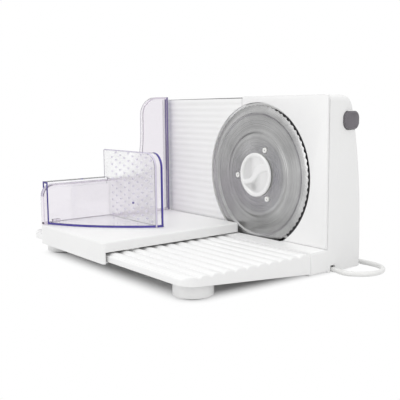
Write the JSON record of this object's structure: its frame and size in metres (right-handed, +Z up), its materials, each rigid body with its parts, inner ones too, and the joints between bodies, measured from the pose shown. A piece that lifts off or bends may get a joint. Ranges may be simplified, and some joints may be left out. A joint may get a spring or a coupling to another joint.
{
  "type": "electric food slicer",
  "caption": "White compact electric food slicer with a wavy-edged steel blade, ribbed base tray, sliding carriage, clear end guard, clear spiked food pusher and adjustable gauge plate.",
  "frame": {"origin": "on the table under the middle of the object's box, taken without the cord", "axes": "+X along the carriage's travel, to the right of the operator; +Y to the back, through the blade; +Z up"},
  "size_m": [0.3364, 0.3294, 0.177],
  "materials": {
    "white_plastic": "satin",
    "clear_plastic": "clear",
    "dark_plastic": "textured",
    "nylon": "moulded",
    "steel": "turned",
    "zinc_steel": "zinc plated",
    "rubber": "matte",
    "white_cord": "smooth"
  },
  "bodies": {
    "base": {"housing": "white_plastic", "front_panel": "white_plastic", "base_cover": "white_plastic", "cover_screw_1": "zinc_steel", "cover_screw_2": "zinc_steel", "cover_screw_3": "zinc_steel", "cover_screw_4": "zinc_steel", "base_tray": "white_plastic", "tray_screw_1": "zinc_steel", "tray_screw_2": "zinc_steel", "front_foot_left": "white_plastic", "front_foot_right": "white_plastic", "foot_pad_left": "rubber", "foot_pad_right": "rubber", "rear_foot_left": "rubber", "rear_foot_right": "rubber", "motor_can": "zinc_steel", "motor_cap": "dark_plastic", "motor_saddle": "nylon", "motor_strap": "zinc_steel", "shaft_bearing": "nylon", "spindle": "steel", "switch_body": "dark_plastic", "cord_clamp": "white_plastic", "cord_sleeve": "white_cord", "cord": "white_cord", "cord_coil": "white_cord", "cord_tie": "dark_plastic", "plug": "white_cord", "plug_pin_1": "zinc_steel", "plug_pin_2": "zinc_steel"},
    "carriage": {"carriage_table": "white_plastic", "end_guard": "clear_plastic", "guard_screw_1": "nylon", "guard_screw_2": "nylon"},
    "pusher": {"food_pusher": "clear_plastic", "pusher_plate": "clear_plastic"},
    "drive": {"blade": "steel", "worm_wheel": "nylon"},
    "worm": {"worm_shaft": "steel"},
    "lock": {"lock_knob": "white_plastic"},
    "gauge": {"gauge_plate": "white_plastic", "gauge_slide": "nylon", "guide_rod_upper": "steel", "guide_rod_lower": "steel"},
    "thickness": {"thickness_cam": "nylon", "thickness_knob": "white_plastic"},
    "switch": {"switch_button": "dark_plastic"}
  },
  "joints": [
    {"name": "carriage_slide", "type": "slide", "parent": "base", "child": "carriage", "axis": [1, 0, 0], "range_m": [-0.03, 0.12]},
    {"name": "pusher_slide", "type": "slide", "parent": "carriage", "child": "pusher", "axis": [0, 1, 0], "range_m": [-0.05, 0.024]},
    {"name": "blade_spin", "type": "hinge", "parent": "base", "child": "drive", "pos_m": [0.048, 0.086, 0.0915], "axis": [0, 1, 0], "continuous": true},
    {"name": "worm_spin", "type": "hinge", "parent": "base", "child": "worm", "pos_m": [0.048, 0.08595, 0.0475], "axis": [1, 0, 0], "continuous": true},
    {"name": "lock_turn", "type": "hinge", "parent": "drive", "child": "lock", "pos_m": [0.048, 0.0575, 0.0915], "axis": [0, 1, 0], "range_deg": [0, 90]},
    {"name": "thickness_turn", "type": "hinge", "parent": "base", "child": "thickness", "pos_m": [-0.058, 0.1015, 0.0615], "axis": [0, 1, 0], "range_deg": [0, 300]},
    {"name": "gauge_slide", "type": "slide", "parent": "base", "child": "gauge", "axis": [0, 1, 0], "range_m": [0, 0.012]},
    {"name": "switch_press", "type": "slide", "parent": "base", "child": "switch", "axis": [-1, 0, 0], "range_m": [0, 0.003], "stiffness_N_per_m": 400, "springref_m": -0.002}
  ],
  "couplings": [
    {"joint": "worm_spin", "follows": "blade_spin", "ratio": 36},
    {"joint": "thickness_turn", "follows": "gauge_slide", "rad_per_m": 436.33}
  ]
}
